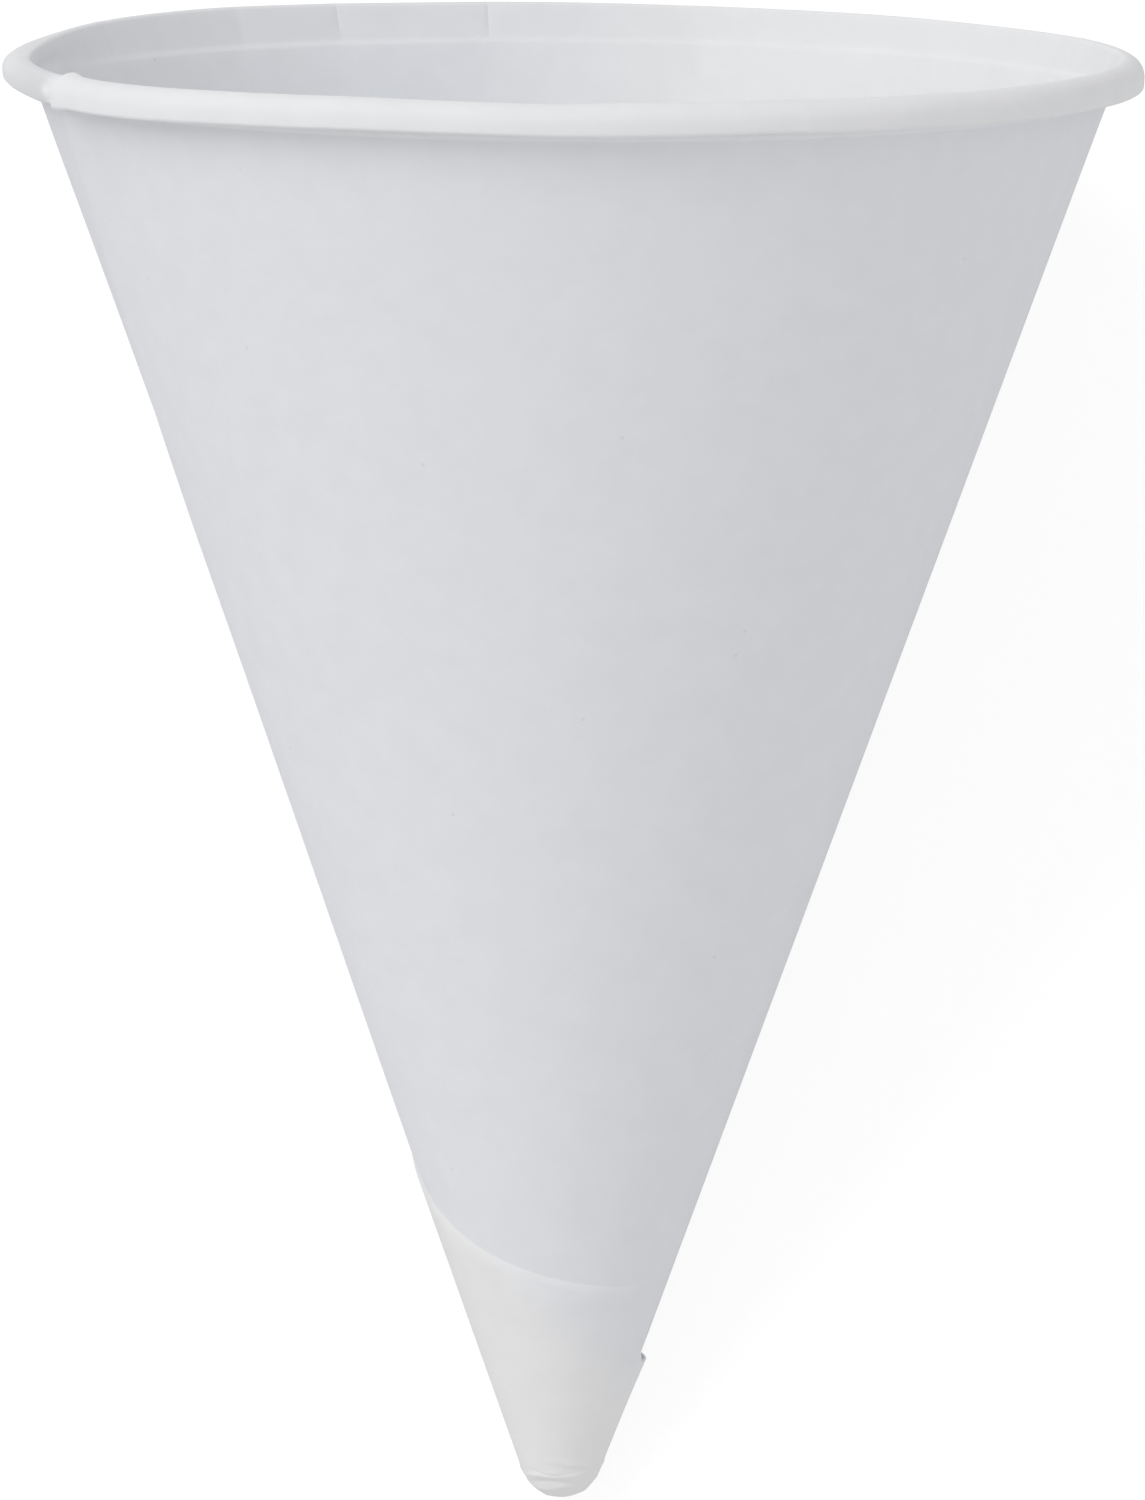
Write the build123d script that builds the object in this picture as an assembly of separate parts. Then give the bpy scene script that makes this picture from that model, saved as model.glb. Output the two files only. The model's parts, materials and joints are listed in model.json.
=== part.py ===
from build123d import *
import os
from math import acos, asin, atan2, cos, degrees, hypot, radians, sin, sqrt, tan

# A cone paper cup with a rolled rim, wound from one flat sheet of paper.
# Lengths are in millimetres and angles in degrees.
#
# The cup is drawn upright on its own axis first: the axis is Z, the tip's lowest point is at
# z = 0 and the mouth is up. Azimuth is measured about the axis from the front (-Y) towards
# the right (+X), so the back is at 180. At the end the cup is laid on its side, on z = 0.
#
# The flat sheet is a disc with a straight edge cut across it, a little off its centre. Wound
# into a cone, it goes round nearly twice. One half of the straight edge ends on the outside:
# it runs down the back of the wall and winds round the tip. The other half is on the inside.

# The paper and the cone
paper = 0.17                  # one ply of the sheet
wall = 0.34                   # two plies, over most of the cup
ply_fade = 0.02               # what is left of a ply where it fades into the wall
half_angle = 19.8             # between the wall and the cup's axis
rim_diameter = 73.0           # over the rolled rim

# The rolled rim
curl_radius = 1.22            # outside of the curl's section
curl_ply = 0.30               # the rolled paper, pressed tight by the rolling tool
curl_turn = 62.0              # the curl is round until it points this far below straight out
curl_flat_count = 6           # its outside is drawn in this many short flats, its inside in half
curl_gap = 0.20               # between the curl's cut edge and the neck
neck_offset = 0.12            # the neck's outside, at lip level, is this far out of the curl's centre
ledge_step = 0.20             # the neck inside the curl stands out from the wall by this much
ledge_drop = 2.15             # from the lip down to the ledge
ledge_height = 0.35
lip_chamfer = 0.22            # the turn from the neck's inside onto the curl

# The tip
tip_radius = 2.50             # outside of the blunt tip
tip_floor = 1.30              # folded paper that closes the tip, measured on the axis
tip_floor_rise = 0.60         # slope of the floor inside the tip
cap_proud = 0.14              # the ply that goes all round the tip, pressed a little thinner
cap_reach = 10.4              # how far that ply goes up the wall from the cone's point

# The outer lap, a glued strip with the sheet's cut edge on one side that fades into the wall on
# the other. Its places are measured on the flat sheet, from the cone's point.
lap_distance = 20.2           # how near the cut edge comes to the cone's point
lap_azimuth = 38.0            # where it comes that near
lap_clearance = 1.25          # its faded side stays this far up the wall from the rounded tip
lap_width_rim = 28.0
lap_full_share = 0.5          # up the wall this share of the width is a full ply
lap_full_run = 14.0           # near the tip the whole width is a full ply for this far
lap_fade_run = 30.0           # and it changes to the fading strip over this length
tail_overrun = 1.8            # the edge runs on past its nearest place, to the tail's corner
tail_angle = 22.0             # of the tail's end, from square across the strip
tail_lift = 0.20              # the tail's end stands off the wall by this much
tail_lift_run = 3.0           # and lifts over this length
crowding = 1.3                # power by which the drawn points crowd towards the tail

# The inner lap, where the sheet's edge starts on the inside and shows across the curl
seam_azimuth = -66.5          # at the rim
seam_slant = 50.0             # of the cut edge across the curl, from upright
seam_turn = 25.0              # inside, the ply sinks away over this much of a turn
seam_turn_curl = 20.0         # and on the curl over this much
inner_lap_short = 3.8         # it ends this far above where the cut edge comes nearest the tip

# At rest on a table
rest_azimuth = 180.0          # the lap is the heavy side, so it comes to lie at the bottom
rest_flat = 0.15              # the soft curl is flattened by this much where it rests

# Worked out from the sizes above
slope = radians(half_angle)
rim_radius = rim_diameter / 2
curl_r = rim_radius - curl_radius
lip_wall_r = curl_r + neck_offset - ledge_step
apex_z = tip_radius - (tip_radius - cap_proud) / sin(slope)
tip_slant = (tip_radius - cap_proud) / tan(slope)
lap_width_tip = lap_distance - tip_slant - lap_clearance
inner_lap_low = lap_distance + inner_lap_short
lip_z = apex_z + lip_wall_r / tan(slope)
curl_z = lip_z - curl_radius
ledge_z = lip_z - ledge_drop
neck_foot_z = ledge_z - ledge_height
neck_slant = (neck_foot_z - apex_z) / cos(slope)


def outward(azimuth):
    """Unit vector straight out from the axis."""
    return Vector(sin(radians(azimuth)), -cos(radians(azimuth)), 0)


def on_wall(slant, azimuth, proud):
    """A point this far from the cone's point, standing proud of the wall's outside."""
    out = slant * sin(slope) + proud * cos(slope)
    height = apex_z + slant * cos(slope) - proud * sin(slope)
    return outward(azimuth) * out + Vector(0, 0, height)


def outside_r(z, step=0.0):
    return (z - apex_z) * tan(slope) + step


def inside_r(z, step=0.0):
    return outside_r(z, step) - wall / cos(slope)


def polar(centre, radius, angle):
    return (centre[0] + radius * cos(radians(angle)), centre[1] + radius * sin(radians(angle)))


def in_flats(centre, radius, start, end, flats):
    """Corners of an arc drawn in short flats. Angle 0 is straight out and 90 is up."""
    turn = (end - start) / flats
    return [polar(centre, radius, start + turn * number) for number in range(flats + 1)]


def cup_body():
    """Wall, curl and tip, turned in one section that starts inside the tip."""
    floor_r = (inside_r(tip_floor)) / (1 - tip_floor_rise * tan(slope))
    floor_edge = (floor_r, tip_floor + floor_r * tip_floor_rise)
    lip_start = (inside_r(lip_z - lip_chamfer, ledge_step), lip_z - lip_chamfer)
    curl_centre = (curl_r, curl_z)
    outside = in_flats(curl_centre, curl_radius, 90, -curl_turn, curl_flat_count)
    inside = in_flats(curl_centre, curl_radius - curl_ply, -curl_turn, 90, curl_flat_count // 2)
    # Below, the curl runs straight in to its cut edge
    under_z = outside[-1][1] + curl_gap
    cut_edge = (outside_r(under_z, ledge_step) + curl_gap, under_z)
    cap_z = apex_z + cap_reach * cos(slope)
    tip_angles = (-half_angle, -(half_angle + 90) / 2, -90)
    tip_points = [polar((0, tip_radius), tip_radius, angle) for angle in tip_angles]
    section = [
        (0, tip_floor),
        floor_edge,
        (inside_r(neck_foot_z), neck_foot_z),
        (inside_r(ledge_z, ledge_step), ledge_z),
        lip_start,
        *outside,
        cut_edge,
        (cut_edge[0], under_z + curl_ply),
        *inside[:-1],
        (outside_r(lip_z - curl_ply, ledge_step), lip_z - curl_ply),
        (outside_r(ledge_z, ledge_step), ledge_z),
        (outside_r(neck_foot_z), neck_foot_z),
        (outside_r(cap_z), cap_z),
        (outside_r(cap_z) + cap_proud * cos(slope), cap_z - cap_proud * sin(slope)),
        tip_points[0],
    ]
    around = Polyline([(r, 0, z) for r, z in section])
    tip = ThreePointArc([(r, 0, z) for r, z in tip_points])
    axis_line = Line(tip @ 1, around @ 0)
    return revolve(make_face(around + tip + axis_line), Axis.Z)


def ply(point, runs, steps):
    """A ply of paper on the cup, as a solid with its inner half sunk into what carries it.

    point(run, step, sunk) gives a place on its outer skin or, sunk, on its inner one. Both go
    from 0 to 1, in as many parts as runs and steps say.
    """
    skins = []
    for sunk in (False, True):
        rows = [[point(run / runs, step / steps, sunk) for step in range(steps + 1)]
                for run in range(runs + 1)]
        skins.append(Face.make_surface_from_array_of_points(rows, tol=0.01))
    edges = zip(skins[0].edges(), skins[1].edges())
    sides = [Face.make_surface_from_curves(*pair) for pair in edges]
    return Solid(Shell(skins + sides))


def outer_lap_point(run, step, sunk):
    """run goes from the rim to the tail's end, step from the cut edge to the faded side."""
    width = lap_width_rim + run * (lap_width_tip - lap_width_rim)
    across = lap_distance - step * width
    start = -sqrt(neck_slant ** 2 - across ** 2)
    end = tail_overrun + step * width * tan(radians(tail_angle))
    along = start + (1 - (1 - run) ** crowding) * (end - start)
    up_the_wall = min(max((-along - lap_full_run) / lap_fade_run, 0), 1)
    fading = up_the_wall * max((step - lap_full_share) / (1 - lap_full_share), 0)
    lifting = max(1 - (end - along) / tail_lift_run, 0)
    proud = paper - fading * (paper - ply_fade)
    proud += tail_lift * lifting ** 2 * 4 * step * (1 - step)
    azimuth = lap_azimuth + degrees(atan2(along, across)) / sin(slope)
    return on_wall(hypot(along, across), azimuth, -wall / 2 if sunk else proud)


def inner_lap_point(run, step, sunk):
    """run goes from near the tip to the ledge, step from the cut edge round the inside.

    The inner edge is the mirror image of the outer one: both are parts of one straight line.
    """
    slant = inner_lap_low + run * (neck_slant - inner_lap_low)
    turn = acos(lap_distance / neck_slant) - acos(lap_distance / slant)
    azimuth = seam_azimuth - degrees(turn) / sin(slope) + step * seam_turn
    proud = ply_fade + (1 - step) * run * (paper - ply_fade)
    return on_wall(slant, azimuth, -wall / 2 if sunk else -wall - proud)


def curl_lap_point(run, step, sunk):
    """run goes from the slanted cut edge round the rim, step from the lip down the curl."""
    angle = radians(90 - step * (90 + curl_turn))
    proud = ply_fade + (1 - run) * min(2 * step, 1) * (paper - ply_fade)
    radius = curl_radius + (-curl_ply / 2 if sunk else proud)
    rise = radius * sin(angle)
    slanted = degrees(rise * tan(radians(seam_slant)) / rim_radius)
    azimuth = seam_azimuth + slanted + run * seam_turn_curl
    return outward(azimuth) * (curl_r + radius * cos(angle)) + Vector(0, 0, curl_z + rise)


def laid_down(cup):
    """Turn the rest azimuth down, and lower the cup until its curl and its tip are on z = 0."""
    rise = curl_z - tip_radius
    drop = curl_radius - rest_flat - tip_radius
    lean = degrees(atan2(curl_r, rise) + asin(drop / hypot(curl_r, rise)))
    cup = cup.rotate(Axis.Z, 180 - rest_azimuth).rotate(Axis.X, lean - 90)
    tip_z = -tip_radius + tip_radius * sin(radians(lean))
    cup = cup.moved(Location((0, 0, -tip_z)))
    cup = split(cup, bisect_by=Plane.XY, keep=Keep.TOP)
    box = cup.bounding_box()
    return cup.moved(Location((0, -(box.min.Y + box.max.Y) / 2, 0)))


def cone_cup():
    outer_lap = ply(outer_lap_point, runs=30, steps=8)
    inner_lap = ply(inner_lap_point, runs=15, steps=6)
    curl_lap = ply(curl_lap_point, runs=10, steps=10)
    return laid_down(cup_body() + outer_lap + inner_lap + curl_lap)


os.makedirs("parts", exist_ok=True)
export_step(cone_cup(), "parts/cone_cup.step")
print("height from lip to tip", round(lip_z, 2))
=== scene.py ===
# %% [markdown]
# A cone paper cup, lying on its side
#
# The real cup is one flat sheet of paper. It is wound nearly twice round a pointed mandrel, its
# tail is wrapped round the tip, and its rim is rolled outwards by a ring-shaped tool. Almost
# everything that the eye notices comes from that: a cut edge that climbs across the tip, a step
# where the second turn starts, and the sheet's end showing across the rolled rim.
# So the sheet is made here as the maker makes it: cut flat, then wound.

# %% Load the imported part
import json
from math import atan2, cos, degrees, pi, radians, sin, tan

import bpy
import numpy as np
from mathutils import Matrix, Vector


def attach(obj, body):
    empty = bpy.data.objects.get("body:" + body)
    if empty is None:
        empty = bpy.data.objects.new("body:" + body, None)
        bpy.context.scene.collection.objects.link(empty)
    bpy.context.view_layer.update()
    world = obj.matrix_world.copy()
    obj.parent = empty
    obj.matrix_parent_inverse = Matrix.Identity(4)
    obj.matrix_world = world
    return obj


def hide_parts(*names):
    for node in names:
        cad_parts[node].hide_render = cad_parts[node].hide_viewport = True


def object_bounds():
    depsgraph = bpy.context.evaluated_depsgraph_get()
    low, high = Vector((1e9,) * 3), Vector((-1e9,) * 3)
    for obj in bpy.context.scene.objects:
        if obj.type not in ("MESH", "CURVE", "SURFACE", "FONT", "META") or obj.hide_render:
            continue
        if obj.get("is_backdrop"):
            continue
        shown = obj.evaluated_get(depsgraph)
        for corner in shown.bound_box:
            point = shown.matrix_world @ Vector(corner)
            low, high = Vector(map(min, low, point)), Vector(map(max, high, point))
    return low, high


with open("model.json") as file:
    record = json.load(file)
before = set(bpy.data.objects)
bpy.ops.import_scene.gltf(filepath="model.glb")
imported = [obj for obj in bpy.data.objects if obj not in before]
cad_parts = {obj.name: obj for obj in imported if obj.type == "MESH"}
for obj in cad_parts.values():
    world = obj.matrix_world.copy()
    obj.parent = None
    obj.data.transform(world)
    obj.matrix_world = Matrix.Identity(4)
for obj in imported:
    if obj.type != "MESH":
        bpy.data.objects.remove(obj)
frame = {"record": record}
cad_low, cad_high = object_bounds()
millimetre = 0.001
print("part", [round(side / millimetre, 1) for side in cad_high - cad_low], "mm")

# %% [markdown]
# Where the cup lies
#
# The sheet is wound upright about the Z axis, because that is how a cone is easiest to think
# of, and it is laid down at the end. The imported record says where: its rim seat is a ring round
# the cup's axis, just under the rolled rim, facing the tip.

# %% From the upright cup to the lying one
rim_diameter = 2 * cad_high.x / millimetre
rim_seat_drop = 2.35          # the seat ring is this far below the lip
seat = frame["record"]["mounts"][0]
cup_axis = -Vector(seat["axis"]).normalized()
cup_right = Vector((1, 0, 0))
cup_back = cup_axis.cross(cup_right)
lean = degrees(atan2(cup_axis.z, cup_axis.y))
print("rim", round(rim_diameter, 2), "mm across; the axis rises", round(lean, 2), "degrees")

# %% [markdown]
# The section of the mandrel
#
# A section is easiest to draw as a walk: go this far while turning this much. The walk starts
# at the tip, goes round the blunt nose, up the wall, over the small ledge at the foot of the
# rim, up the neck, over the lip, round the curl and in under it. Each stretch says how many
# rows of points it gets: few on the straight wall, many where it bends. The curl is round
# above and at its side it drops nearly straight, to where the tool's lower edge turned it in.
# Beside the rim seam the lower ply's curl has sprung open. It is as long as the rest but turns
# less, so the walk has a second column of turns for it.

# %% Sizes of the mandrel, in millimetres and degrees
half_angle = 19.8
ply = 0.17
paper_thickness = 0.155       # a little less than a ply, so that the turns don't touch
nose_radius = 2.14            # of the mandrel, so the paper over it is blunter
nose_height = 2.58            # of the nose's centre above the cup's lowest point
lip_radius = 0.34
curl_radius = 1.22            # from the lip out to the curl's side
under_radius = 0.28           # and where it turns in under the curl
under_turn = 84
neck_foot_z = 90.80
slope = radians(half_angle)
point_z = nose_height - nose_radius / sin(slope)
nose_reach = nose_radius / tan(slope)
wall_reach = (neck_foot_z - point_z) / cos(slope)
wrinkled_reach = 2.0          # just above the nose the wall is wrinkled for this far

# %% The walk
walk = [
    # name, length, turn to the left, the same where the curl has opened, rows
    ("nose", nose_radius * (pi / 2 - slope), 90 - half_angle, 90 - half_angle, 16),
    ("wrinkled wall", wrinkled_reach, 0, 0, 16),
    ("wall", wall_reach - nose_reach - wrinkled_reach, 0, 0, 36),
    ("ledge foot", 0.30, -30, -30, 3),
    ("ledge", 0.12, 0, 0, 1),
    ("ledge top", 0.22, 30, 30, 3),
    ("neck", 1.89, 0, 0, 4),
    ("lip", lip_radius * (pi / 2 - slope), half_angle - 90, half_angle - 90, 4),
    ("curl", curl_radius * pi / 4, -45, -76, 6),
    ("face", curl_radius * pi / 4, -45, -20, 6),
    ("drop", 0.58, -6, -12, 2),
    ("under", under_radius * radians(under_turn), -under_turn, -50, 7),
    ("tuck", 0.95, -100, -95, 5),
]

# %% Following the walk
def walked(opened=False):
    """Where each stretch starts, as its distance, radius, height and heading."""
    distance, r, z, heading = 0, 0, nose_height - nose_radius, 0
    stretches = []
    for name, length, turn, opened_turn, rows in walk:
        bend = radians(opened_turn if opened else turn) / length
        stretches.append((distance, length, r, z, heading, bend, rows, name))
        if bend:
            r += (sin(heading + bend * length) - sin(heading)) / bend
            z += (cos(heading) - cos(heading + bend * length)) / bend
        else:
            r += length * cos(heading)
            z += length * sin(heading)
        heading += bend * length
        distance += length
    return stretches


stretches = walked()
opened_stretches = walked(opened=True)
starts = {stretch[-1]: stretch[0] for stretch in stretches}
nose_end = starts["wrinkled wall"]
lip_r, lip_z = next(stretch[2:4] for stretch in stretches if stretch[-1] == "curl")
print("walk", round(sum(stretch[1] for stretch in stretches), 1), "mm")
print("lip", round(lip_r, 2), "mm from the axis, at", round(lip_z, 2), "mm")


def on_section(distance, section):
    """Radius, height and heading of the mandrel's surface at a distance along the walk."""
    for start, length, r, z, heading, bend, rows, name in reversed(section):
        if distance >= start:
            break
    gone = distance - start
    if bend:
        r += (sin(heading + bend * gone) - sin(heading)) / bend
        z += (cos(heading) - cos(heading + bend * gone)) / bend
    else:
        r += gone * cos(heading)
        z += gone * sin(heading)
    return r, z, heading + bend * gone


# %% [markdown]
# The flat sheet
#
# The blank is a disc with a straight edge cut across it, a little off its centre. The edge's two
# halves become the cut edge outside and the one inside. The blank is also slit from that edge
# to its centre, where the tail overlaps its own beginning.
# It starts as a single row of points from the centre outwards. A Screw modifier sweeps the row
# once round. It also lifts it a little on the way, like one turn of a ramp: seen from above
# the blank is still flat, so that straight cuts stay straight, but the two sides of the slit
# lie apart, and the height of a point tells how far round the sheet it is.

# %% Sizes of the blank
edge_distance = 19.53         # the straight edge passes this far from the centre
slit_angle = 37.0             # the slit, from square to the straight edge
columns = 432
ramp_rise = 36.0              # for one whole turn
nose_open = 2.40              # the sheet stops short of the nose's pole by this much


def flat_radius(distance):
    """Distance from the blank's centre. Over the nose the paper is crushed together."""
    if distance < nose_end:
        return distance * nose_reach / nose_end
    return distance - nose_end + nose_reach


def walk_distance(radius):
    """The other way round, for many points at once."""
    on_nose = radius * nose_end / nose_reach
    return np.where(radius < nose_reach, on_nose, radius - nose_reach + nose_end)


# %% Tools for working on one object
def only(obj):
    """Select one object and nothing else."""
    bpy.ops.object.select_all(action="DESELECT")
    obj.select_set(True)
    bpy.context.view_layer.objects.active = obj


def apply(obj, kind, **settings):
    """Add a modifier with these settings and apply it."""
    modifier = obj.modifiers.new(kind.title(), kind)
    for name, value in settings.items():
        setattr(modifier, name, value)
    only(obj)
    bpy.ops.object.modifier_apply(modifier=modifier.name)


def row_of_points(radii):
    """One edge after another along the slit, from a plane merged to a point and extruded."""
    bpy.ops.object.select_all(action="DESELECT")
    bpy.ops.mesh.primitive_plane_add(size=1)
    bpy.ops.object.mode_set(mode="EDIT")
    bpy.ops.mesh.merge(type="CENTER")
    bpy.ops.transform.translate(value=(radii[0], 0, 0))
    for near, far in zip(radii, radii[1:]):
        bpy.ops.mesh.extrude_region_move(TRANSFORM_OT_translate={"value": (far - near, 0, 0)})
    bpy.ops.mesh.select_all(action="SELECT")
    # With no window, rotate turns the other way
    bpy.ops.transform.rotate(value=-radians(slit_angle), orient_axis="Z", center_override=(0, 0, 0))
    bpy.ops.object.mode_set(mode="OBJECT")
    return bpy.context.object


# %% The blank, before it is cut
distances = [nose_open]
for start, length, *_, rows, name in stretches:
    distances += [start + length * row / rows for row in range(1, rows + 1)]
distances = [distance for distance in distances if distance >= nose_open]
cup = row_of_points([flat_radius(distance) for distance in distances])
cup.name = "wound_sheet"
apply(cup, "SCREW", angle=2 * pi, screw_offset=ramp_rise, steps=columns, render_steps=columns,
      use_merge_vertices=False)
print("rows", len(distances), "and the blank has", len(cup.data.polygons), "faces")

# %% [markdown]
# Cutting and scoring
#
# The Bisect operator cuts the selected faces along a straight line. It can drop what lies past
# the line, which gives the sheet its cut edges, or leave it, which only adds a row of points
# there. Such a score line is wanted wherever the wound sheet will bend sharply.

# %% The cutting tool
def sheet_angle(rise):
    """Degrees round the blank, from square to its straight edge: -323 inside to 37 at the tail."""
    return rise / ramp_rise * 360 + slit_angle - 360


def read_points(mesh):
    found = np.empty(len(mesh.vertices) * 3)
    mesh.vertices.foreach_get("co", found)
    return found.reshape(-1, 3)


def cut(square, distance, low, high, drop=False, near=0.0):
    """Cut the sheet along the line that lies this far from the centre, square to this angle.

    Only faces between the two angles are cut, and only those further out than near.
    """
    middles = np.empty(len(cup.data.polygons) * 3)
    cup.data.polygons.foreach_get("center", middles)
    x, y, rise = middles.reshape(-1, 3).T
    angle = sheet_angle(rise)
    wanted = (angle > low) & (angle < high) & (np.hypot(x, y) > near)
    only(cup)
    bpy.context.tool_settings.mesh_select_mode = (False, False, True)
    bpy.ops.object.mode_set(mode="EDIT")
    bpy.ops.mesh.select_all(action="DESELECT")
    bpy.ops.object.mode_set(mode="OBJECT")
    cup.data.polygons.foreach_set("select", wanted)
    bpy.ops.object.mode_set(mode="EDIT")
    outward = Vector((cos(radians(square)), sin(radians(square)), 0))
    bpy.ops.mesh.bisect(plane_co=outward * distance, plane_no=outward, clear_outer=drop)
    bpy.ops.object.mode_set(mode="OBJECT")


def on_blank(radius, angle):
    return Vector((radius * cos(radians(angle)), radius * sin(radians(angle))))


def line_through(here, there):
    """Square angle and distance of the line through two points of the blank."""
    run = there - here
    away = Vector((run.y, -run.x)).normalized()
    away *= 1 if away.dot(here) > 0 else -1
    return degrees(atan2(away.y, away.x)), away.dot(here)


# %% [markdown]
# The cut edges
#
# One straight cut makes the long edge outside and the one inside. The tail ends in a short cut
# that runs down to the side of the tip, bends there at a knee, and then runs round behind the
# tip. A scored line at the knee lets the two cuts meet exactly. On the rolled rim the inside
# end has lost a small corner, so there its edge runs straight down the curl.
# Each cut is kept to the angles of the blank where it is wanted, and reaches a little past them.

# %% Cutting the tail and the ends
near_azimuth = 39.5           # where the straight edge comes nearest to the cone's point
tail_overrun = 1.30           # the tail's corner, along the straight edge
knee_azimuth = 70.0
knee_radius = 13.93
low_azimuth = 87.0            # behind the knee the cut comes nearest to the cone's point here
seam_top_azimuth = -63.0      # of the inside end's edge, at the lip
seam_foot_azimuth = -63.8     # and where the curl turns in
seam_foot_drop = 0.4          # the edge is aimed at a place this far past the start of the turn
corner_reach = 5              # degrees
knee_reach = 3
seam_reach = 8


def blank_angle(azimuth, turns=0):
    """The angle on the blank that is wound to this azimuth, this many turns inside the last."""
    return (azimuth - near_azimuth - 360 * turns) * sin(slope)


cut(0, edge_distance, -360, 90, drop=True)
knee_angle = blank_angle(knee_azimuth)
knee = on_blank(knee_radius, knee_angle)
corner = Vector((edge_distance, tail_overrun))
tail_line = line_through(corner, knee)
low_angle = blank_angle(low_azimuth)
low_line = (low_angle, knee_radius * cos(radians(low_angle - knee_angle)))
cut(knee_angle + 90, 0, knee_angle - knee_reach, knee_angle + knee_reach)
cut(*tail_line, -corner_reach, knee_angle, drop=True)
cut(*low_line, knee_angle, 90, drop=True)

lip_radius_flat = flat_radius(starts["lip"])
under_radius_flat = flat_radius(starts["under"]) + seam_foot_drop
seam_top = on_blank(lip_radius_flat, blank_angle(seam_top_azimuth, 2))
seam_foot = on_blank(under_radius_flat, blank_angle(seam_foot_azimuth, 2))
square, distance = line_through(seam_top, seam_foot)
seam_line = (square + 180, -distance)     # the side nearer the centre is what drops
seam_angle = blank_angle(seam_top_azimuth, 2)
cut(*seam_line, seam_angle - seam_reach, seam_angle + seam_reach, drop=True, near=lip_radius_flat)
print("tail line", [round(v, 2) for v in tail_line])
print("seam line", [round(v, 2) for v in seam_line])

# %% [markdown]
# Score lines where the paper bends
#
# A turn of paper climbs over the edge of the turn below it, and needs points from the foot of
# the climb to its top. On the blank these lines are straight: they are the blank's own straight
# edge, turned back by as much of the sheet as one turn of the cone takes. The cut edge itself
# is crushed thin by the mandrel's clamp, so it is scored too, close to the edge.
# The rim has flat places with creases between them, where the rolling tool gripped the paper.
# Those are scored up and down, and so is a small torn spot on the lower ply beside the seam.
# Under the tail's end the turns below are scored too, because they follow it when it stands up.
# Cuts that cross leave a few points almost in one place, which are merged at the end.

# %% Sizes of what is scored
turn_of_sheet = 360 * sin(slope)   # degrees of the blank that one turn of the cone takes
climb_run = 1.3                    # the paper takes this far to climb over an edge
climb_shares = (0, 0.25, 0.5, 0.75, 1)
climb_low = 5                      # the climb is scored between these two, in degrees of the
climb_high = 88                    # blank from where the edge comes nearest to the centre
crushed_run = 0.50                 # the paper is crushed this far in from its cut edge
crushed_low = -90                  # and scored between these degrees of the blank
crushed_high = 20
tail_hollow = 0.15                 # turns below the tail stay down for this far under its edge
tail_reach = 4                     # they are scored from this many degrees before the knee
creases = [
    # azimuth, how far the crease stands out
    (-120.4, 0.08), (-141.7, 0.05), (-154.1, 0.06), (-171.0, 0.08), (-37.7, 0.03),
    (-17.7, -0.03), (24.0, 0.04), (63.0, 0.03), (112.0, 0.05), (147.0, -0.04),
]
crease_half_width = 0.4            # degrees
crease_start = 1.0                 # creases are scored from this far below the ledge
creased_low = -300                 # and between these degrees of the blank
creased_high = -70
torn_azimuth = -67.4
torn_width = 1.7                   # degrees
torn_height = 0.42                 # mm
score_reach = 1.5                  # degrees of the blank
merge_distance = 0.015             # mm


def score_upwards(azimuth, turns, near):
    """Add a row of points that runs up and down the cup, where that is on the creased part."""
    angle = blank_angle(azimuth, turns)
    if creased_low < angle < creased_high:
        cut(angle + 90, 0, angle - score_reach, angle + score_reach, near=near)


# %% Scoring
for turns in (1, 2):
    under_edge = turns * turn_of_sheet - 360
    low, high = under_edge + climb_low, under_edge + climb_high
    for share in climb_shares:
        cut(under_edge, edge_distance + share * climb_run, low, high)
for share in (0.5, 1):
    cut(0, edge_distance - share * crushed_run, crushed_low, crushed_high)
for turns in (1, 2):
    back = turns * turn_of_sheet
    low, high = knee_angle - back - tail_reach, slit_angle - back
    for share in (0, 0.5, 1):
        cut(low_angle - back, low_line[1] - share * tail_hollow, low, high)
for azimuth, height in creases:
    for turns in (0, 1, 2):
        for side in (-1, 0, 1):
            crease_side = azimuth + side * crease_half_width
            score_upwards(crease_side, turns, flat_radius(starts["ledge foot"]) - crease_start)
for side in (-1, 0, 1):
    score_upwards(torn_azimuth + side * torn_width, 1, lip_radius_flat)
only(cup)
bpy.ops.object.mode_set(mode="EDIT")
bpy.ops.mesh.select_all(action="SELECT")
bpy.ops.mesh.remove_doubles(threshold=merge_distance)
bpy.ops.object.mode_set(mode="OBJECT")
print("cut and scored", len(cup.data.polygons), "faces")

# %% [markdown]
# How high the paper lies
#
# No operator rolls a sheet round a cone, so winding is the one place where the points are moved
# by a formula. It keeps a point's distance from the blank's centre, which becomes its distance
# along the section, and its angle on the blank becomes its azimuth, nearly three times as
# large. What is left is how high it lies above the mandrel: half a ply, and one ply more for
# every turn of the sheet that lies under it.
# Over the lip the inside of the wall becomes the outside of the curl. There the first turn lies
# on top, and its end is a visible step, the seam. The turn that comes out from under it stays a
# ply lower for a while, and its curl has sprung open.
# Behind the tip the tail's end stands up a little, and the turns below follow it.

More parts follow.
